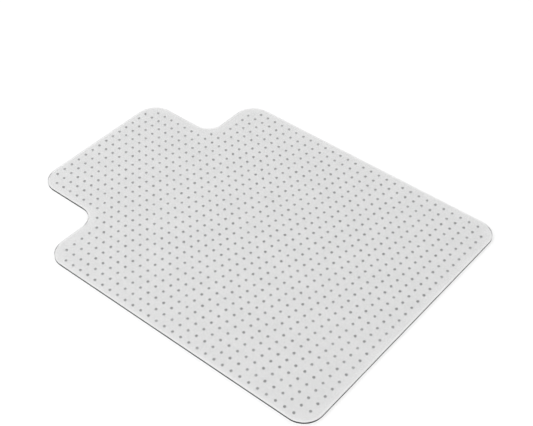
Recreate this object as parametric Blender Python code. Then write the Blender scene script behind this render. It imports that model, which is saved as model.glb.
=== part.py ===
"""Clear studded chair mat with a lip, for use on carpet.

The mat lies flat on its studs. +X is to the right, +Y points at the desk, which the lip
reaches under, and +Z is up. The origin is on the floor, at the middle of the mat's box.

It is made as two plies: a hard, smooth wear sheet with a sloped rim, on which the chair
rolls, and under it a thinner backing that carries the field of grip studs.
"""

import math

import bmesh
import bpy
from mathutils import Vector
from mathutils.geometry import delaunay_2d_cdt

INCH = 0.0254

# Outline, seen from above. The body is a rectangle, and the lip a smaller one in front.
MAT_WIDTH = 36 * INCH
MAT_DEPTH = 48 * INCH
LIP_WIDTH = 20 * INCH
LIP_DEPTH = 10 * INCH
BACK_CORNER_RADIUS = 0.061
FRONT_CORNER_RADIUS = 0.065
NOTCH_RADIUS = 0.057
ARC_STEPS = 10

# Heights, from the floor up.
STUD_HEIGHT = 0.0036
BACKING_THICKNESS = 0.0016
PLY_GAP = 0.0003
SHEET_THICKNESS = 0.0029

# The rim of the wear sheet slopes down a little, to a square edge.
RIM_SLOPE_WIDTH = 0.005
RIM_SLOPE_DROP = 0.0003

# Grip studs stand on a square grid, in columns across the mat and rows from back to front.
STUD_PITCH = 0.02995
STUD_COLUMNS = 30
STUD_ROWS = 40
FIRST_ROW_FROM_BACK = 0.0325
STUD_TO_EDGE = 0.018
STUD_BASE = 0.0064

BACK_EDGE = -MAT_DEPTH / 2
LIP_FRONT = MAT_DEPTH / 2
BODY_FRONT = LIP_FRONT - LIP_DEPTH
BACKING_BOTTOM = STUD_HEIGHT
BACKING_TOP = BACKING_BOTTOM + BACKING_THICKNESS
SHEET_BOTTOM = BACKING_TOP + PLY_GAP
SHEET_TOP = SHEET_BOTTOM + SHEET_THICKNESS

CLEAR_VINYL = (0.80, 0.81, 0.81, 0.45)
STUD_VINYL = (0.72, 0.73, 0.73, 0.45)


def clear_scene():
    for obj in list(bpy.data.objects):
        bpy.data.objects.remove(obj)


def vinyl(name, colour, roughness):
    """Clear plastic, as a Principled BSDF."""
    material = bpy.data.materials.new(name)
    material.use_nodes = True
    shader = material.node_tree.nodes["Principled BSDF"]
    shader.inputs["Base Color"].default_value = (*colour[:3], 1)
    shader.inputs["Alpha"].default_value = colour[3]
    shader.inputs["Roughness"].default_value = roughness
    shader.inputs["Metallic"].default_value = 0
    return material


def arc(centre_x, centre_y, radius, start_degrees, end_degrees):
    """Points of one round corner, both ends included."""
    points = []
    for step in range(ARC_STEPS + 1):
        share = step / ARC_STEPS
        angle = math.radians(start_degrees + share * (end_degrees - start_degrees))
        points.append(Vector((centre_x + radius * math.cos(angle), centre_y + radius * math.sin(angle))))
    return points


def mat_outline(inset=0.0):
    """The mat's edge from above, anticlockwise from the back right corner, moved inwards by inset."""
    side_x = MAT_WIDTH / 2
    lip_x = LIP_WIDTH / 2
    back, front, notch = BACK_CORNER_RADIUS, FRONT_CORNER_RADIUS, NOTCH_RADIUS
    right = [
        *arc(side_x - back, BACK_EDGE + back, back - inset, -90, 0),
        *arc(side_x - front, BODY_FRONT - front, front - inset, 0, 90),
        *arc(lip_x + notch, BODY_FRONT + notch, notch + inset, 270, 180),
        *arc(lip_x - front, LIP_FRONT - front, front - inset, 0, 90),
    ]
    left = [Vector((-point.x, point.y)) for point in reversed(right)]
    return right + left


def distance_to_edge(point, outline):
    """How far a point inside the outline is from the nearest stretch of edge."""
    nearest = math.inf
    for start, end in zip(outline, outline[1:] + outline[:1]):
        along = end - start
        share = max(0.0, min(1.0, (point - start).dot(along) / along.length_squared))
        nearest = min(nearest, (start + along * share - point).length)
    return nearest


def is_on_mat(point):
    """True on the body or on the lip, with their corners taken as square."""
    on_body = abs(point.x) < MAT_WIDTH / 2 and BACK_EDGE < point.y < BODY_FRONT
    on_lip = abs(point.x) < LIP_WIDTH / 2 and BACK_EDGE < point.y < LIP_FRONT
    return on_body or on_lip


def stud_centres():
    """The grid points that leave enough plain margin to the edge."""
    outline = mat_outline()
    centres = []
    for row in range(STUD_ROWS):
        for column in range(STUD_COLUMNS):
            x = (column - (STUD_COLUMNS - 1) / 2) * STUD_PITCH
            y = BACK_EDGE + FIRST_ROW_FROM_BACK + row * STUD_PITCH
            centre = Vector((x, y))
            if is_on_mat(centre) and distance_to_edge(centre, outline) >= STUD_TO_EDGE:
                centres.append(centre)
    return centres


def ring(bm, outline, height):
    """The outline as a closed loop of vertices at one height."""
    return [bm.verts.new((point.x, point.y, height)) for point in outline]


def wall(bm, lower, upper):
    """A band of faces that joins two rings of the same number of points."""
    count = len(lower)
    for i in range(count):
        j = (i + 1) % count
        bm.faces.new((lower[i], lower[j], upper[j], upper[i]))


def object_from(bm, name, material):
    bmesh.ops.recalc_face_normals(bm, faces=bm.faces)
    mesh = bpy.data.meshes.new(name)
    bm.to_mesh(mesh)
    bm.free()
    mesh.materials.append(material)
    obj = bpy.data.objects.new(name, mesh)
    bpy.context.scene.collection.objects.link(obj)
    return obj


def build_wear_sheet():
    """The hard top ply: a flat plate whose rim slopes down to a square edge."""
    bm = bmesh.new()
    foot = ring(bm, mat_outline(), SHEET_BOTTOM)
    edge = ring(bm, mat_outline(), SHEET_TOP - RIM_SLOPE_DROP)
    top = ring(bm, mat_outline(RIM_SLOPE_WIDTH), SHEET_TOP)
    wall(bm, foot, edge)
    wall(bm, edge, top)
    bm.faces.new(reversed(foot))
    bm.faces.new(top)
    return object_from(bm, "wear_sheet", vinyl("clear_vinyl", CLEAR_VINYL, 0.35))


def build_stud_backing():
    """The lower ply: a thin sheet whose underside carries one four-sided stud at each grid point."""
    outline = mat_outline()
    centres = stud_centres()
    half = STUD_BASE / 2
    corners = [Vector((-half, -half)), Vector((half, -half)), Vector((half, half)), Vector((-half, half))]

    # The underside is one flat face around all the stud bases, cut into triangles between them.
    flat_points = list(outline)
    regions = [list(range(len(outline)))]
    for centre in centres:
        first = len(flat_points)
        flat_points += [centre + corner for corner in corners]
        regions.append([first, first + 1, first + 2, first + 3])
    inside_only = 1
    points, _, triangles, _, _, regions_of = delaunay_2d_cdt(flat_points, [], regions, inside_only, 1e-7)

    bm = bmesh.new()
    underside = ring(bm, points, BACKING_BOTTOM)
    for triangle, region in zip(triangles, regions_of):
        under_a_stud = len(region) > 1
        if not under_a_stud:
            bm.faces.new([underside[i] for i in triangle])
    for centre, base in zip(centres, regions[1:]):
        tip = bm.verts.new((centre.x, centre.y, 0))
        for i in range(4):
            bm.faces.new((underside[base[i]], underside[base[(i + 1) % 4]], tip))

    top = ring(bm, outline, BACKING_TOP)
    wall(bm, underside[: len(outline)], top)
    bm.faces.new(top)
    return object_from(bm, "stud_backing", vinyl("stud_vinyl", STUD_VINYL, 0.45))


def main():
    clear_scene()
    build_wear_sheet()
    build_stud_backing()


main()
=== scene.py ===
"""Looks of a clear, studded chair mat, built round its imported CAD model.

The mat lies on its studs on a pale floor. +X is to the right, +Y points at the desk, which
the lip reaches under, and +Z is up. All lengths are in metres.
"""

import logging
import math
from dataclasses import dataclass, field
from enum import Enum

import bmesh
import bpy
import numpy as np
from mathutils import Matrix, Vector
from mathutils.geometry import delaunay_2d_cdt


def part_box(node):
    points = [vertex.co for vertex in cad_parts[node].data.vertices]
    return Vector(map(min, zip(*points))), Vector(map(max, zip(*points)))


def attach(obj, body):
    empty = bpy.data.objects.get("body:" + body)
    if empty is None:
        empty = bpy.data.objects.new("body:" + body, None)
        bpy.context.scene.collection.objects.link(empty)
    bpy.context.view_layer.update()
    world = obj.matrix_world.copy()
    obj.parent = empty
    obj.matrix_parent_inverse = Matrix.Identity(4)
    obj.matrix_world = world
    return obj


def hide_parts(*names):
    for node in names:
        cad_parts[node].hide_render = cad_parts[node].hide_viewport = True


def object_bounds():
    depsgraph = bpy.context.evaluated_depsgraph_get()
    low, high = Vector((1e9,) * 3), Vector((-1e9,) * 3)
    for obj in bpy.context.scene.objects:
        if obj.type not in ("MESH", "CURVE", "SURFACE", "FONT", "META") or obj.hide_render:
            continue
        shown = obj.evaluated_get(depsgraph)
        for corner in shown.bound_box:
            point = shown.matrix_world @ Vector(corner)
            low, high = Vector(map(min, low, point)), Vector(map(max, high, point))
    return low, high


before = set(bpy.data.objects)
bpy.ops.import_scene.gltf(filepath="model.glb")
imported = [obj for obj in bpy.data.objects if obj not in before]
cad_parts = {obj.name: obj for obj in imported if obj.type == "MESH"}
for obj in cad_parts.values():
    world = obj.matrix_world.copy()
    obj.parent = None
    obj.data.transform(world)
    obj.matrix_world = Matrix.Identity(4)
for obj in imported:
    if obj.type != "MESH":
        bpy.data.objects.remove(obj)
CAD_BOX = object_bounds()

log = logging.getLogger("chair_mat")

INCH = 0.0254
BODY = "root"
VINYL_IOR = 1.53
RIM_ATTRIBUTE = "rim_nearness"
# Facing, from a Layer Weight node, where an upright face starts to mirror the light inside the
# vinyl, and where it has fully begun to.
MIRRORS_WITHIN = (0.46, 0.54)
# Points nearer than this count as one when a flat face is cut into triangles.
MERGE_DISTANCE = 1e-7
Colour = tuple[float, float, float]
Place = tuple[float, float, float]


class Ply(Enum):
    """The CAD nodes that the pieces stand for."""

    WEAR_SHEET = "wear_sheet"
    STUD_BACKING = "stud_backing"


class Slot(Enum):
    """The record's material slots."""

    CLEAR_VINYL = "clear_vinyl"
    STUD_VINYL = "stud_vinyl"


class Region(Enum):
    """The parts of a ply's surface that look different, numbered as its material slots."""

    ROLLING_FACE = 0
    RIM_SLOPE = 1
    CUT_EDGE = 2
    UNDERSIDE = 3
    UNDER_RIM = 4


# ---------------------------------------------------------------------------
# Shader building
# ---------------------------------------------------------------------------


class NodeBoard:
    """A node tree with a short way to add nodes and join them."""

    # A Mix node has one pair of inputs and one output for each type of data.
    MIX_SOCKETS = {"FLOAT": (2, 3, 0), "RGBA": (6, 7, 2)}

    def __init__(self, tree: bpy.types.NodeTree) -> None:
        """Start from an empty tree.

        Args:
            tree: The tree to fill. Nodes already in it are removed.
        """
        self.tree = tree
        self.tree.nodes.clear()

    def add(self, kind: str, inputs: dict | None = None, **settings: object) -> bpy.types.Node:
        """Add one node.

        Args:
            kind: The node's type, such as ShaderNodeTexNoise.
            inputs: Input name or number to a value, or to the output socket that feeds it.
            **settings: Properties of the node, such as noise_dimensions.

        Returns:
            The new node.
        """
        node = self.tree.nodes.new(kind)
        for name, value in settings.items():
            setattr(node, name, value)
        for name, value in (inputs or {}).items():
            if isinstance(value, bpy.types.NodeSocket):
                self.tree.links.new(value, node.inputs[name])
            else:
                node.inputs[name].default_value = value
        return node

    def math(self, operation: str, first: object, second: object = 0.0) -> bpy.types.NodeSocket:
        """Add a Math node and return its result.

        Args:
            operation: The node's operation, such as MULTIPLY.
            first: A number or a socket.
            second: A number or a socket.

        Returns:
            The result's socket.
        """
        return self.add("ShaderNodeMath", {0: first, 1: second}, operation=operation).outputs[0]

    def mix(self, data_type: str, share: object, first: object, second: object) -> bpy.types.NodeSocket:
        """Add a Mix node and return its result.

        Args:
            data_type: FLOAT or RGBA.
            share: A number or a socket: 0 gives all of the first, and 1 all of the second.
            first: A number, a colour with its alpha, or a socket.
            second: The same.

        Returns:
            The result's socket.
        """
        first_input, second_input, result = self.MIX_SOCKETS[data_type]
        inputs = {0: share, first_input: first, second_input: second}
        return self.add("ShaderNodeMix", inputs, data_type=data_type).outputs[result]

    def spread(self, value: bpy.types.NodeSocket, low: float, high: float) -> bpy.types.NodeSocket:
        """Map a value from 0..1 to low..high.

        Args:
            value: The socket to map.
            low: The result at 0.
            high: The result at 1.

        Returns:
            The result's socket.
        """
        node = self.add("ShaderNodeMapRange", {"Value": value, "To Min": low, "To Max": high})
        return node.outputs["Result"]


def shader_group(name: str, inputs: dict[str, float], outputs: tuple[str, ...]) -> bpy.types.NodeTree:
    """Make a shader node group of float sockets, with its own input and output nodes still to add.

    Args:
        name: The group's name.
        inputs: Input names, with their usual values.
        outputs: Output names.

    Returns:
        The new group.
    """
    group = bpy.data.node_groups.new(name, "ShaderNodeTree")
    for socket_name, value in inputs.items():
        socket = group.interface.new_socket(socket_name, in_out="INPUT", socket_type="NodeSocketFloat")
        socket.default_value = value
    for socket_name in outputs:
        group.interface.new_socket(socket_name, in_out="OUTPUT", socket_type="NodeSocketFloat")
    return group


def cloud_group() -> bpy.types.NodeTree:
    """Soft, uneven milkiness, as in a thick vinyl sheet: broad clouds with finer ones inside.

    Returns:
        A group that gives Cloud, from 0 to 1, for a Size in metres.
    """
    group = shader_group("milky_cloud", {"Size": 0.08, "Detail": 3.0}, ("Cloud",))
    board = NodeBoard(group)
    given = board.add("NodeGroupInput")
    place = board.add("ShaderNodeTexCoord").outputs["Object"]
    scale = board.math("DIVIDE", 1.0, given.outputs["Size"])
    noise = board.add(
        "ShaderNodeTexNoise",
        {"Vector": place, "Scale": scale, "Detail": given.outputs["Detail"], "Roughness": 0.55},
    )
    cloud = board.add(
        "ShaderNodeMapRange",
        {"Value": noise.outputs["Fac"], "From Min": 0.3, "From Max": 0.7},
        interpolation_type="SMOOTHSTEP",
    )
    board.add("NodeGroupOutput", {"Cloud": cloud.outputs["Result"]})
    return group


def grain_group() -> bpy.types.NodeTree:
    """Fine pebbled grain of an embossing roller, with broad waves left from the rolled-up sheet.

    Returns:
        A group that gives Height, from 0 to about 1, for a Grain and a Wave size in metres.
    """
    group = shader_group("roller_grain", {"Grain": 0.0016, "Wave": 0.12, "Wave Share": 0.5}, ("Height",))
    board = NodeBoard(group)
    given = board.add("NodeGroupInput")
    place = board.add("ShaderNodeTexCoord").outputs["Object"]
    pebbles = board.add(
        "ShaderNodeTexVoronoi",
        {"Vector": place, "Scale": board.math("DIVIDE", 1.0, given.outputs["Grain"])},
        feature="SMOOTH_F1",
    )
    waves = board.add(
        "ShaderNodeTexNoise",
        {"Vector": place, "Scale": board.math("DIVIDE", 1.0, given.outputs["Wave"]), "Detail": 1.0},
    )
    height = board.mix(
        "FLOAT", given.outputs["Wave Share"], pebbles.outputs["Distance"], waves.outputs["Fac"]
    )
    board.add("NodeGroupOutput", {"Height": height})
    return group


def uneven_group() -> bpy.types.NodeTree:
    """How much one moulded stud differs from the next, with a slow drift over the sheet.

    Returns:
        A group that gives Shade, from 0 to 1, from each stud's own number and a Drift size in metres.
    """
    group = shader_group("uneven_mould", {"Drift": 0.25, "Drift Share": 0.25}, ("Shade",))
    board = NodeBoard(group)
    given = board.add("NodeGroupInput")
    place = board.add("ShaderNodeTexCoord").outputs["Object"]
    drift = board.add(
        "ShaderNodeTexNoise",
        {"Vector": place, "Scale": board.math("DIVIDE", 1.0, given.outputs["Drift"]), "Detail": 1.0},
    )
    own = board.add("ShaderNodeAttribute", attribute_name=StudBacking.SHADE_ATTRIBUTE)
    shade = board.mix("FLOAT", given.outputs["Drift Share"], own.outputs["Fac"], drift.outputs["Fac"])
    board.add("NodeGroupOutput", {"Shade": shade})
    return group


def cast_shade(board: NodeBoard) -> bpy.types.NodeSocket:
    """Tell the light that passes a face on its way to something else from the face's own look.

    Args:
        board: The material's nodes.

    Returns:
        A socket that is 1 for light on its way to something else, else 0.
    """
    path = board.add("ShaderNodeLightPath")
    return board.math("MAXIMUM", path.outputs["Is Shadow Ray"], path.outputs["Is Diffuse Ray"])


@dataclass(frozen=True)
class VinylFinish:
    """Clear vinyl, as one region of the mat shows it.

    A range is a pair: the value where the cloud is thinnest, and where it is thickest.

    Attributes:
        painted_rim_light: How much of the haze is gone at the rim, which paints light there.
        inside_tint: The colour of a face seen through the vinyl: for the cut edge, a grey that stands for
            the light it mirrors inside the vinyl, a painted reflection.
        haze_from_inside: Scales the haze of a face seen through the vinyl, steeply and at a low angle.
        shade_share: Scales the haze for light that passes the face on its way to something else.
        gloss: Scales the mirror-like skin.
        specular: The shader's own, softer reflection.
    """

    name: str
    clear_tint: Colour
    milky_tint: Colour
    haze: tuple[float, float]
    roughness: tuple[float, float]
    cloud_size: float
    grain_height: float
    wave_share: float = 0.5
    painted_rim_light: float = 0.0
    inside_tint: Colour | None = None
    haze_from_inside: tuple[float, float] = (1.0, 1.0)
    shade_share: float = 1.0
    gloss: float = 1.0
    specular: float = 0.5

    def material(self, cloud: bpy.types.NodeTree, grain: bpy.types.NodeTree) -> bpy.types.Material:
        """Build the finish.

        Args:
            cloud: The group that gives the milkiness.
            grain: The group that gives the surface's relief.

        Returns:
            The new material.
        """
        material = bpy.data.materials.new(self.name)
        material.use_nodes = True
        board = NodeBoard(material.node_tree)
        milk = board.add("ShaderNodeGroup", node_tree=cloud)
        milk.inputs["Size"].default_value = self.cloud_size
        relief = board.add("ShaderNodeGroup", node_tree=grain)
        relief.inputs["Wave Share"].default_value = self.wave_share
        colour = board.mix(
            "RGBA", milk.outputs["Cloud"], (*self.clear_tint, 1.0), (*self.milky_tint, 1.0)
        )
        bump = board.add(
            "ShaderNodeBump",
            {"Height": relief.outputs["Height"], "Distance": self.grain_height, "Strength": 1.0},
        )
        roughness = board.spread(milk.outputs["Cloud"], *self.roughness)
        inside = board.add("ShaderNodeNewGeometry").outputs["Backfacing"]
        # Faces seen from within take the inside tint, which paints the cut edge's reflection inside the
        # vinyl.
        if self.inside_tint:
            colour = board.mix("RGBA", inside, colour, (*self.inside_tint, 1.0))
        body = board.add(
            "ShaderNodeBsdfPrincipled",
            {
                "Base Color": colour,
                "Alpha": self.opacity(board, milk.outputs["Cloud"], inside),
                "Roughness": roughness,
                "Normal": bump.outputs["Normal"],
                "Metallic": 0.0,
                "IOR": VINYL_IOR,
                "Specular IOR Level": self.specular,
            },
        )
        sheen = board.add(
            "ShaderNodeBsdfGlossy",
            {"Roughness": roughness, "Normal": bump.outputs["Normal"]},
        )
        surface = board.add(
            "ShaderNodeMixShader",
            {0: self.reflection(board, inside), 1: body.outputs["BSDF"], 2: sheen.outputs["BSDF"]},
        )
        board.add("ShaderNodeOutputMaterial", {"Surface": surface.outputs["Shader"]})
        return material

    def opacity(
        self, board: NodeBoard, cloud: bpy.types.NodeSocket, inside: bpy.types.NodeSocket
    ) -> bpy.types.NodeSocket:
        """How much the face hides: more where it is milky, less near the rim, where it paints light, and
        from within.

        Args:
            board: The material's nodes.
            cloud: The milkiness, from 0 to 1.
            inside: 1 where the face is seen from within the sheet, else 0.

        Returns:
            The alpha's socket.
        """
        rim = board.add("ShaderNodeAttribute", attribute_name=RIM_ATTRIBUTE).outputs["Fac"]
        near_rim = board.spread(rim, 1.0, 1.0 - self.painted_rim_light)
        facing = board.add("ShaderNodeLayerWeight", {"Blend": 0.5}).outputs["Facing"]
        low_angle = board.add(
            "ShaderNodeMapRange",
            {"Value": facing, "From Min": MIRRORS_WITHIN[0], "From Max": MIRRORS_WITHIN[1]},
            interpolation_type="SMOOTHSTEP",
        )
        steep, shallow = self.haze_from_inside
        seen_within = board.spread(low_angle.outputs["Result"], steep - 1.0, shallow - 1.0)
        from_inside = board.math("ADD", 1.0, board.math("MULTIPLY", inside, seen_within))
        shading = cast_shade(board)
        haze = board.math("MULTIPLY", board.spread(cloud, *self.haze), near_rim)
        seen = board.math("MULTIPLY", haze, from_inside)
        return board.math("MULTIPLY", seen, board.spread(shading, 1.0, self.shade_share))

    def reflection(self, board: NodeBoard, inside: bpy.types.NodeSocket) -> bpy.types.NodeSocket:
        """How much the smooth skin mirrors: little head on, most at a grazing angle, none from within.

        Args:
            board: The material's nodes.
            inside: 1 where the face is seen from within the sheet, else 0.

        Returns:
            The reflection's socket.
        """
        head_on = ((VINYL_IOR - 1) / (VINYL_IOR + 1)) ** 2
        facing = board.add("ShaderNodeLayerWeight", {"Blend": 0.5}).outputs["Facing"]
        schlick_power = 5.0
        grazing = board.math("POWER", facing, schlick_power)
        mirrored = board.spread(grazing, head_on * self.gloss, self.gloss)
        return board.math("MULTIPLY", mirrored, board.math("SUBTRACT", 1.0, inside))


@dataclass(frozen=True)
class StudFinish:
    """Vinyl of the grip studs, painted dark grey: painted shade for the darkness that clear studs show
    where they bend the light away.

    A range is a pair: the value of the palest stud, and of the darkest.
    """

    name: str
    pale: Colour
    dark: Colour
    haze: tuple[float, float]
    roughness: float
    shade_share: float
    grain_height: float = 0.00004

    def material(self, uneven: bpy.types.NodeTree, grain: bpy.types.NodeTree) -> bpy.types.Material:
        """Build the finish.

        Args:
            uneven: The group that tells one stud from the next.
            grain: The group that gives the surface's relief.

        Returns:
            The new material.
        """
        material = bpy.data.materials.new(self.name)
        material.use_nodes = True
        board = NodeBoard(material.node_tree)
        shade = board.add("ShaderNodeGroup", node_tree=uneven)
        depth = board.add("ShaderNodeAttribute", attribute_name=StudBacking.SPOT_SHADE_ATTRIBUTE).outputs["Fac"]
        relief = board.add("ShaderNodeGroup", node_tree=grain)
        relief.inputs["Wave Share"].default_value = 0.0
        tint = board.mix("RGBA", shade.outputs["Shade"], (*self.pale, 1.0), (*self.dark, 1.0))
        bump = board.add(
            "ShaderNodeBump",
            {"Height": relief.outputs["Height"], "Distance": self.grain_height, "Strength": 1.0},
        )
        shade_cast = board.spread(cast_shade(board), 1.0, self.shade_share)
        haze = board.math("MULTIPLY", board.spread(shade.outputs["Shade"], *self.haze), depth)
        shader = board.add(
            "ShaderNodeBsdfPrincipled",
            {
                "Base Color": tint,
                "Alpha": board.math("MULTIPLY", haze, shade_cast),
                "Roughness": self.roughness,
                "Normal": bump.outputs["Normal"],
                "Metallic": 0.0,
                "IOR": VINYL_IOR,
            },
        )
        board.add("ShaderNodeOutputMaterial", {"Surface": shader.outputs["BSDF"]})
        return material


# The grey haze is partly the vinyl's own tint and partly painted shade: the face casts only 0.55 of it on
# the floor below and shows the rest in its own grey.
ROLLING_FACE = VinylFinish(
    name="rolling_face_vinyl",
    clear_tint=(0.17, 0.172, 0.174),
    milky_tint=(0.23, 0.232, 0.235),
    haze=(0.262, 0.288),
    roughness=(0.30, 0.38),
    cloud_size=0.07,
    grain_height=0.00002,
    # Painted light: the haze thins near the rim, for the floor there, which gets more light from outside
    # the mat.
    painted_rim_light=0.15,
    shade_share=0.55,
)
# Painted highlight: the rim slope has less haze and a paler tint than the rolling face, so the strip inside
# the edge looks lighter. Like the rolling face, it shows part of its shade in its own haze.
RIM_SLOPE = VinylFinish(
    name="rim_slope_vinyl",
    clear_tint=(0.24, 0.243, 0.246),
    milky_tint=(0.30, 0.303, 0.306),
    haze=(0.190, 0.210),
    roughness=(0.20, 0.26),
    cloud_size=0.05,
    grain_height=0.00001,
    shade_share=0.55,
)
# Painted shade: seen from outside, the cut edge is painted near black and mirrors little. This stands for
# the dark line a clear edge shows where the vinyl turns the light away from it, and for the shade along its
# foot.
CUT_EDGE = VinylFinish(
    name="cut_edge_vinyl",
    clear_tint=(0.001, 0.0012, 0.0012),
    milky_tint=(0.004, 0.0045, 0.0045),
    haze=(0.98, 1.0),
    roughness=(0.40, 0.55),
    cloud_size=0.02,
    grain_height=0.00002,
    wave_share=0.2,
    # Seen from within at a low angle, the edge turns this grey: a painted reflection of the light it
    # mirrors inside the vinyl.
    inside_tint=(0.20, 0.203, 0.206),
    haze_from_inside=(0.02, 0.80),
    shade_share=0.5,
    gloss=0.04,
    specular=0.05,
)
UNDERSIDE = VinylFinish(
    name="underside_vinyl",
    clear_tint=(0.60, 0.605, 0.61),
    milky_tint=(0.66, 0.665, 0.67),
    haze=(0.02, 0.04),
    roughness=(0.18, 0.24),
    cloud_size=0.10,
    grain_height=0.00001,
    shade_share=0.3,
    gloss=0.0,
)
# Painted shade: a dark strip under the rim, sloping down to the edge's foot. It shows as a faint grey line
# and casts 3.5 times the shade it shows, for the contact shade along the foot of the edge.
UNDER_RIM = VinylFinish(
    name="under_rim_vinyl",
    clear_tint=(0.10, 0.102, 0.104),
    milky_tint=(0.16, 0.162, 0.164),
    haze=(0.04, 0.06),
    roughness=(0.30, 0.40),
    cloud_size=0.03,
    grain_height=0.00001,
    shade_share=3.5,
    gloss=0.0,
)
# Painted shade: the studs are clear vinyl, painted dark grey for the darkness they show where they bend the
# light away.
STUDS = StudFinish(
    name="grip_stud_vinyl",
    pale=(0.15, 0.151, 0.153),
    dark=(0.10, 0.101, 0.103),
    haze=(0.61, 0.97),
    roughness=0.35,
    shade_share=0.15,
)


class VinylWorks:
    """Every vinyl material of the mat, each built once."""

    def __init__(self) -> None:
        """Build the shared groups, and then the materials."""
        cloud, grain, uneven = cloud_group(), grain_group(), uneven_group()
        finishes = {
            Region.ROLLING_FACE: ROLLING_FACE,
            Region.RIM_SLOPE: RIM_SLOPE,
            Region.CUT_EDGE: CUT_EDGE,
            Region.UNDERSIDE: UNDERSIDE,
            Region.UNDER_RIM: UNDER_RIM,
        }
        self.sheet = {region: finish.material(cloud, grain) for region, finish in finishes.items()}
        self.stud = STUDS.material(uneven, grain)


# ---------------------------------------------------------------------------
# Shapes
# ---------------------------------------------------------------------------


@dataclass(frozen=True)
class MatOutline:
    """The mat's edge, seen from above: a rounded rectangle with a centred lip in front."""

    width: float
    depth: float
    lip_width: float = 20 * INCH
    lip_depth: float = 10 * INCH
    back_radius: float = 0.061
    front_radius: float = 0.065
    notch_radius: float = 0.057
    arc_steps: int = 28

    def arc(self, centre: Vector, radius: float, start: float, end: float) -> list[Vector]:
        """Points of one round corner, both ends included.

        Args:
            centre: The arc's centre.
            radius: The arc's radius.
            start: The first point's direction, in degrees.
            end: The last point's direction, in degrees.

        Returns:
            The points in order.
        """
        turn = (end - start) / self.arc_steps
        angles = [math.radians(start + turn * i) for i in range(self.arc_steps + 1)]
        return [centre + radius * Vector((math.cos(a), math.sin(a))) for a in angles]

    def loop(self, inset: float = 0.0) -> list[Vector]:
        """The whole edge, anticlockwise from the back right corner.

        Args:
            inset: How far the loop lies inside the true edge.

        Returns:
            The loop's points, one for each end and step of an arc.
        """
        side, lip_side = self.width / 2, self.lip_width / 2
        back_y, front_y = -self.depth / 2, self.depth / 2
        body_y = front_y - self.lip_depth
        back, front, notch = self.back_radius, self.front_radius, self.notch_radius
        right = [
            *self.arc(Vector((side - back, back_y + back)), back - inset, -90, 0),
            *self.arc(Vector((side - front, body_y - front)), front - inset, 0, 90),
            *self.arc(Vector((lip_side + notch, body_y + notch)), notch + inset, 270, 180),
            *self.arc(Vector((lip_side - front, front_y - front)), front - inset, 0, 90),
        ]
        return right + [Vector((-p.x, p.y)) for p in reversed(right)]

    def distance(self, points: np.ndarray) -> np.ndarray:
        """How far points are from the edge.

        Args:
            points: X and Y of each point, one row each.

        Returns:
            One distance for each point, never negative, whichever side of the edge it is on.
        """
        start = np.array([p[:] for p in self.loop()])
        along = np.roll(start, -1, axis=0) - start
        nearest = np.full(len(points), np.inf)
        for origin, step in zip(start, along):
            share = np.clip((points - origin) @ step / max(step @ step, 1e-12), 0.0, 1.0)
            gap = np.linalg.norm(origin + share[:, None] * step - points, axis=1)
            nearest = np.minimum(nearest, gap)
        return nearest

    def contains(self, points: np.ndarray) -> np.ndarray:
        """Whether points are on the body or on the lip, with their corners taken as square.

        Args:
            points: X and Y of each point, one row each.

        Returns:
            True or False for each point.
        """
        x, y = np.abs(points[:, 0]), points[:, 1]
        within_ends = np.abs(y) < self.depth / 2
        on_body = (x < self.width / 2) & (y < self.depth / 2 - self.lip_depth)
        return within_ends & (on_body | (x < self.lip_width / 2))


def ring(bm: bmesh.types.BMesh, loop: list[Vector], height: float) -> list[bmesh.types.BMVert]:
    """Put a loop of vertices at one height.

    Args:
        bm: The mesh to add to.
        loop: The loop's points.
        height: Their Z.

    Returns:
        The vertices, in the loop's order.
    """
    return [bm.verts.new((p.x, p.y, height)) for p in loop]


def band(
    bm: bmesh.types.BMesh,
    lower: list[bmesh.types.BMVert],
    upper: list[bmesh.types.BMVert],
    region: Region,
) -> None:
    """Join two rings with a band of faces that look outwards.

    Args:
        bm: The mesh to add to.
        lower: The ring that comes first on the way up the outside.
        upper: The next ring, with as many vertices.
        region: What the band is part of.
    """
    for i, vert in enumerate(lower):
        j = (i + 1) % len(lower)
        face = bm.faces.new((vert, lower[j], upper[j], upper[i]))
        face.material_index = region.value


def finished_object(
    bm: bmesh.types.BMesh, name: str, materials: list[bpy.types.Material]
) -> bpy.types.Object:
    """Turn a mesh into a smooth-shaded object with its materials.

    Args:
        bm: The mesh, which is freed.
        name: The object's name.
        materials: Its material slots, in order.

    Returns:
        The new object, in the scene.
    """
    sharp_angle = math.radians(32)
    mesh = bpy.data.meshes.new(name)
    bm.normal_update()
    bm.to_mesh(mesh)
    bm.free()
    for material in materials:
        mesh.materials.append(material)
    mesh.shade_smooth()
    mesh.set_sharp_from_angle(angle=sharp_angle)
    obj = bpy.data.objects.new(name, mesh)
    bpy.context.scene.collection.objects.link(obj)
    return obj


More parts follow.
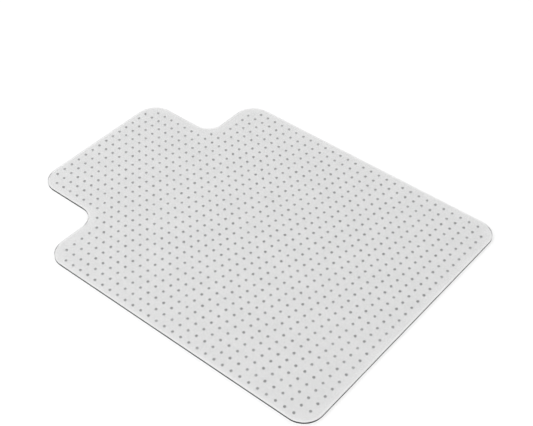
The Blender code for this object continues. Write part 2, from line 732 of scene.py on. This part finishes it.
@dataclass
class WearSheet:
    """The hard, smooth ply that the casters roll on, with a sloped rim and softened edges.

    Attributes:
        bottom: The ply's lower face.
        top: The flat height of its upper face.
        slope_width: The sloped rim's width.
        slope_drop: How much lower than the upper face the rim ends.
        lower_round: The radius of the edge's lower corner.
        upper_round: The radius of its upper corner.
        shoulder: Half the width of the bend where the slope meets the upper face.
        surface_step: The spacing of the upper face's points.
        sag: How deep the upper face's waves are.
        sag_length: How long they are.
        rim_light_border: The width of the strip inside the rim where the haze thins, a painted light for
            the floor there.
    """

    outline: MatOutline
    bottom: float
    top: float
    slope_width: float = 0.005
    slope_drop: float = 0.0003
    lower_round: float = 0.00003
    upper_round: float = 0.0003
    shoulder: float = 0.0012
    surface_step: float = 0.02
    sag: float = 0.00018
    sag_length: float = 0.31
    rim_light_border: float = 0.03

    def rim_profile(self) -> list[tuple[float, float, Region]]:
        """The rim's section, from under the sheet round its edge to the rolling face.

        Returns:
            For each ring: how far inside the edge it is, its height, and the region below it.
        """
        low, high = self.bottom, self.top
        edge = high - self.slope_drop
        soft, crown = self.lower_round, self.upper_round
        rise = self.slope_drop / self.slope_width
        diagonal = 1 - math.sqrt(0.5)
        return [
            (soft, low, Region.UNDERSIDE),
            (soft * diagonal, low + soft * diagonal, Region.CUT_EDGE),
            (0.0, low + soft, Region.CUT_EDGE),
            (0.0, edge - crown, Region.CUT_EDGE),
            (crown * diagonal, edge - crown * diagonal, Region.CUT_EDGE),
            (crown, edge + crown * rise * 0.5, Region.RIM_SLOPE),
            (self.slope_width - self.shoulder, high - self.shoulder * rise, Region.RIM_SLOPE),
            (self.slope_width, high - self.shoulder * rise * 0.25, Region.RIM_SLOPE),
            (self.slope_width + self.shoulder, high, Region.RIM_SLOPE),
        ]

    def surface_points(self, inner_edge: float) -> np.ndarray:
        """A square grid of points on the rolling face, clear of its border.

        Args:
            inner_edge: How far inside the mat's edge the face begins.

        Returns:
            X and Y of each point, one row each.
        """
        step = self.surface_step
        half_x, half_y = self.outline.width / 2, self.outline.depth / 2
        xs, ys = np.arange(-half_x + step / 2, half_x, step), np.arange(-half_y + step / 2, half_y, step)
        points = np.stack(np.meshgrid(xs, ys), axis=-1).reshape(-1, 2)
        clear = self.outline.contains(points) & (self.outline.distance(points) > inner_edge + step / 2)
        return points[clear]

    def sag_at(self, points: np.ndarray) -> np.ndarray:
        """How far the rolling face lies below its flat height, in slow, shallow waves.

        Args:
            points: X and Y of each point, one row each.

        Returns:
            One depth for each point, from 0 at the rim to sag.
        """
        x, y = 2 * math.pi * points.T / self.sag_length
        wave = np.sin(x + 0.9 * np.sin(0.61 * y)) * np.cos(0.83 * y + 0.7 * np.sin(0.47 * x))
        flat_border = 0.06
        fade = np.clip(self.outline.distance(points) / flat_border, 0.0, 1.0)
        return self.sag * (0.5 + 0.5 * wave) * fade

    def build(self, works: VinylWorks) -> bpy.types.Object:
        """Make the ply.

        Args:
            works: The mat's materials.

        Returns:
            The finished object.
        """
        bm = bmesh.new()
        nearness = bm.verts.layers.float.new(RIM_ATTRIBUTE)
        profile = self.rim_profile()
        rings = [ring(bm, self.outline.loop(inset), height) for inset, height, _ in profile]
        for lower, upper, (_, _, region) in zip(rings, rings[1:], profile[1:]):
            band(bm, lower, upper, region)
        underside = bm.faces.new(reversed(rings[0]))
        underside.material_index = Region.UNDERSIDE.value

        border = self.outline.loop(profile[-1][0])
        inside = self.surface_points(profile[-1][0])
        flat = border + [Vector(p) for p in inside]
        whole_face, inside_only = range(len(border)), 1
        points, _, triangles, *_ = delaunay_2d_cdt(flat, [], [whole_face], inside_only, MERGE_DISTANCE)
        places = np.array([p[:] for p in points])
        depths = self.sag_at(places)
        verts = rings[-1] + [
            bm.verts.new((p.x, p.y, self.top - depth))
            for p, depth in zip(points[len(border):], depths[len(border):])
        ]
        # How near the rim each point is. There the rolling face's haze thins, to paint light.
        closeness = np.clip(1 - self.outline.distance(places) / self.rim_light_border, 0.0, 1.0)
        for vert, value in zip(verts, closeness):
            vert[nearness] = float(value)
        for triangle in triangles:
            face = bm.faces.new([verts[i] for i in triangle])
            face.material_index = Region.ROLLING_FACE.value
        return finished_object(bm, "wear_sheet_skin", [works.sheet[region] for region in Region])


@dataclass(frozen=True)
class Level:
    """One ring of a stud: its radius, its height, and how much of its painted shade shows there, from 0 to
    1.
    """

    radius: float
    height: float
    depth: float


@dataclass
class StudBacking:
    """The lower ply, with a round, tapered grip stud at each point of the grid.

    From above, a stud's body shows through the sheet as a soft-edged dark spot, which the head stands for:
    a flat disc of painted shade under the sheet. The foot is the part below the ply.

    Attributes:
        bottom: The floor, where the studs end.
        top: The ply's upper face.
        centres: X and Y of each stud, one row each.
        underside: The ply's lower face, between the studs.
        root_radius: Where a stud's foot, and its head's soft edge, leave the flat faces.
        rim_width: How far inside the mat's edge the underside begins to slope down.
        rim_drop: How much lower the edge's foot is than the underside.
        segments: The points of each of a stud's rings.
    """

    SHADE_ATTRIBUTE = "stud_shade"
    SPOT_SHADE_ATTRIBUTE = "stud_spot_shade"

    outline: MatOutline
    bottom: float
    top: float
    centres: np.ndarray
    underside: float = 0.0036
    root_radius: float = 0.0052
    rim_width: float = 0.0025
    rim_drop: float = 0.0010
    segments: int = 10

    def head(self) -> tuple[Level, ...]:
        """What of a stud is seen through the sheet: one flat head of painted shade, as wide as the dark
        spot the stud shows.

        Returns:
            The head's only ring.
        """
        return (Level(0.0033, self.top, 1.0),)

    def foot(self) -> tuple[Level, ...]:
        """The part of a stud below the ply.

        Returns:
            The foot's rings, from just under its root down to its blunt tip.
        """
        length = self.underside - self.bottom
        return (
            Level(0.0039, self.bottom + 0.93 * length, 0.20),
            Level(0.0033, self.bottom + 0.72 * length, 0.30),
            Level(0.0026, self.bottom + 0.17 * length, 0.30),
            Level(0.0020, self.bottom, 0.35),
        )

    def circle(self, centre: np.ndarray, radius: float) -> list[Vector]:
        """One level of a stud, seen from above.

        Args:
            centre: X and Y of the stud's middle.
            radius: The ring's radius.

        Returns:
            The ring's points, anticlockwise.
        """
        turns = [2 * math.pi * k / self.segments for k in range(self.segments)]
        return [Vector((centre[0] + radius * math.cos(t), centre[1] + radius * math.sin(t))) for t in turns]

    def stack(
        self,
        bm: bmesh.types.BMesh,
        centre: np.ndarray,
        start: list[bmesh.types.BMVert],
        levels: tuple[Level, ...],
        upwards: bool,
    ) -> list[bmesh.types.BMVert]:
        """Close a round hole in the ply with a stack of rings.

        Args:
            bm: The mesh to add to.
            centre: X and Y of the stud's middle.
            start: The hole's edge, anticlockwise from above.
            levels: The rings that follow it.
            upwards: Whether the faces look up, as a head's do, or down and out, as a foot's do.

        Returns:
            Every new vertex.
        """
        depth = bm.verts.layers.float[self.SPOT_SHADE_ATTRIBUTE]
        stud_slot = len(Region)
        ring_before, made = start, []
        for level in levels:
            ring_now = ring(bm, self.circle(centre, level.radius), level.height)
            for vert in ring_now:
                vert[depth] = level.depth
            for i, vert in enumerate(ring_now):
                j = (i + 1) % self.segments
                corners = (vert, ring_now[j], ring_before[j], ring_before[i])
                face = bm.faces.new(reversed(corners) if upwards else corners)
                face.material_index = stud_slot
            ring_before = ring_now
            made += ring_now
        end = bm.faces.new(ring_before if upwards else reversed(ring_before))
        end.material_index = stud_slot
        return made

    def build(self, works: VinylWorks) -> bpy.types.Object:
        """Make the ply.

        Args:
            works: The mat's materials.

        Returns:
            The finished object.
        """
        edge, border = self.outline.loop(), self.outline.loop(self.rim_width)
        flat, holes = list(border), [range(len(border))]
        for centre in self.centres:
            holes.append(range(len(flat), len(flat) + self.segments))
            flat += self.circle(centre, self.root_radius)
        inside_only = 1
        points, _, triangles, _, _, region_of = delaunay_2d_cdt(
            flat, [], holes, inside_only, MERGE_DISTANCE
        )

        bm = bmesh.new()
        shade = bm.verts.layers.float.new(self.SHADE_ATTRIBUTE)
        bm.verts.layers.float.new(self.SPOT_SHADE_ATTRIBUTE)
        lower, upper = ring(bm, points, self.underside), ring(bm, points, self.top)
        for triangle, owners in zip(triangles, region_of):
            between_studs = len(owners) == 1
            if between_studs:
                faces = (
                    bm.faces.new([lower[i] for i in reversed(triangle)]),
                    bm.faces.new([upper[i] for i in triangle]),
                )
                for face in faces:
                    face.material_index = Region.UNDERSIDE.value
        # The backing's edge wall carries the painted-dark cut edge, and the strip under the rim the painted
        # shade along the edge's foot.
        edge_low, edge_high = ring(bm, edge, self.underside - self.rim_drop), ring(bm, edge, self.top)
        band(bm, lower[: len(border)], edge_low, Region.UNDER_RIM)
        band(bm, edge_low, edge_high, Region.CUT_EDGE)
        band(bm, edge_high, upper[: len(border)], Region.UNDERSIDE)

        draw = np.random.default_rng(7)
        for centre, hole in zip(self.centres, holes[1:]):
            own_shade = float(draw.uniform())
            below, above = [lower[i] for i in hole], [upper[i] for i in hole]
            made = self.stack(bm, centre, below, self.foot(), upwards=False)
            made += self.stack(bm, centre, above, self.head(), upwards=True)
            for vert in below + above + made:
                vert[shade] = own_shade
        materials = [works.sheet[region] for region in Region] + [works.stud]
        return finished_object(bm, "stud_backing_skin", materials)


def stud_centres() -> np.ndarray:
    """Where the CAD model's studs stand, read from their tips on the floor.

    Returns:
        X and Y of each stud, one row each, from back to front.
    """
    near_floor = 1e-4
    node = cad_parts[Ply.STUD_BACKING.value]
    tips = {(round(v.co.x, 6), round(v.co.y, 6)) for v in node.data.vertices if v.co.z < near_floor}
    return np.array(sorted(tips, key=lambda tip: (tip[1], tip[0])))


@dataclass
class ChairMat:
    """The whole mat, from its two plies."""

    works: VinylWorks = field(default_factory=VinylWorks)

    def build(self) -> dict[Ply, bpy.types.Object]:
        """Make both plies and put each in its CAD node's place.

        Returns:
            Each ply's finished object.
        """
        low, high = (Vector(corner) for corner in CAD_BOX)
        outline = MatOutline(width=high.x - low.x, depth=high.y - low.y)
        _, sheet_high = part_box(Ply.WEAR_SHEET.value)
        backing_low, backing_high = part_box(Ply.STUD_BACKING.value)
        seam = 0.00001
        sheet = WearSheet(outline, backing_high.z + seam, sheet_high.z)
        backing = StudBacking(outline, backing_low.z, backing_high.z, stud_centres())
        pieces = {
            Ply.WEAR_SHEET: (sheet.build(self.works), Slot.CLEAR_VINYL),
            Ply.STUD_BACKING: (backing.build(self.works), Slot.STUD_VINYL),
        }
        for ply, (piece, slot) in pieces.items():
            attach(piece, BODY)
            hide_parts(ply.value)
        return {ply: piece for ply, (piece, _) in pieces.items()}


# ---------------------------------------------------------------------------
# Studio
# ---------------------------------------------------------------------------


@dataclass(frozen=True)
class AreaLamp:
    """A soft box, aimed at the middle of the mat."""

    name: str
    place: Place
    size: float
    watts: float

    def build(self) -> None:
        """Add the lamp to the scene."""
        data = bpy.data.lights.new(self.name, "AREA")
        data.shape = "DISK"
        data.size = self.size
        data.energy = self.watts
        lamp = bpy.data.objects.new(self.name, data)
        lamp.location = self.place
        lamp.rotation_euler = (-Vector(self.place)).to_track_quat("-Z", "Y").to_euler()
        bpy.context.scene.collection.objects.link(lamp)


@dataclass(frozen=True)
class ProductCamera:
    """A long lens above the back left of the mat."""

    azimuth: float = -50.610
    elevation: float = 43.415
    distance: float = 3.2741
    target: Place = (0.1099, -0.0515, 0.0)
    lens: float = 73.57
    shift_x: float = -0.0232

    def build(self) -> None:
        """Add the camera and make it the scene's own."""
        data = bpy.data.cameras.new("product_camera")
        data.lens = self.lens
        data.shift_x = self.shift_x
        turn, rise = math.radians(self.azimuth), math.radians(self.elevation)
        back = Vector(
            (math.sin(turn) * math.cos(rise), -math.cos(turn) * math.cos(rise), math.sin(rise))
        )
        camera = bpy.data.objects.new("product_camera", data)
        camera.location = Vector(self.target) + back * self.distance
        camera.rotation_euler = (math.pi / 2 - rise, 0.0, turn)
        bpy.context.scene.collection.objects.link(camera)
        bpy.context.scene.camera = camera


@dataclass(frozen=True)
class Studio:
    """A white floor under an even white sky, with one soft box for shape."""

    floor_size: float = 40.0
    clear_layers: int = 24
    floor_colour: Colour = (0.87, 0.87, 0.87)
    sky_colour: Colour = (1.0, 1.0, 1.0)
    sky_strength: float = 1.0
    lamps: tuple[AreaLamp, ...] = (AreaLamp("key_softbox", (-0.9, 1.2, 4.2), 2.6, 52.0),)

    def floor_material(self) -> bpy.types.Material:
        """Build matte white paint with a faint unevenness.

        Returns:
            The new material.
        """
        material = bpy.data.materials.new("studio_floor")
        material.use_nodes = True
        board = NodeBoard(material.node_tree)
        place = board.add("ShaderNodeTexCoord").outputs["Object"]
        noise = board.add("ShaderNodeTexNoise", {"Vector": place, "Scale": 3.0})
        shader = board.add(
            "ShaderNodeBsdfPrincipled",
            {
                "Base Color": (*self.floor_colour, 1.0),
                "Roughness": board.spread(noise.outputs["Fac"], 0.85, 0.95),
                "Specular IOR Level": 0.2,
            },
        )
        board.add("ShaderNodeOutputMaterial", {"Surface": shader.outputs["BSDF"]})
        return material

    def build(self) -> None:
        """Add the floor, the sky and the lamps."""
        bm = bmesh.new()
        bmesh.ops.create_grid(bm, x_segments=1, y_segments=1, size=self.floor_size / 2)
        mesh = bpy.data.meshes.new("studio_floor")
        bm.to_mesh(mesh)
        bm.free()
        mesh.materials.append(self.floor_material())
        floor = bpy.data.objects.new("studio_floor", mesh)
        floor.location.z = CAD_BOX[0][2]
        bpy.context.scene.collection.objects.link(floor)

        world = bpy.data.worlds.new("white_sky")
        world.use_nodes = True
        background = world.node_tree.nodes["Background"]
        background.inputs["Color"].default_value = (*self.sky_colour, 1.0)
        background.inputs["Strength"].default_value = self.sky_strength
        bpy.context.scene.world = world
        for lamp in self.lamps:
            lamp.build()
        bpy.context.scene.view_settings.view_transform = "Standard"
        # Light passes both clear plies on its way to the floor, and again on its way back.
        bpy.context.scene.cycles.transparent_max_bounces = self.clear_layers


def main() -> None:
    """Build the studio and the mat, and report each piece."""
    logging.basicConfig(level=logging.INFO, format="%(name)s: %(message)s")
    ProductCamera().build()
    Studio().build()
    for ply, piece in ChairMat().build().items():
        log.info("%s stands for %s, %d faces", piece.name, ply.value, len(piece.data.polygons))


if __name__ == "__main__":
    main()
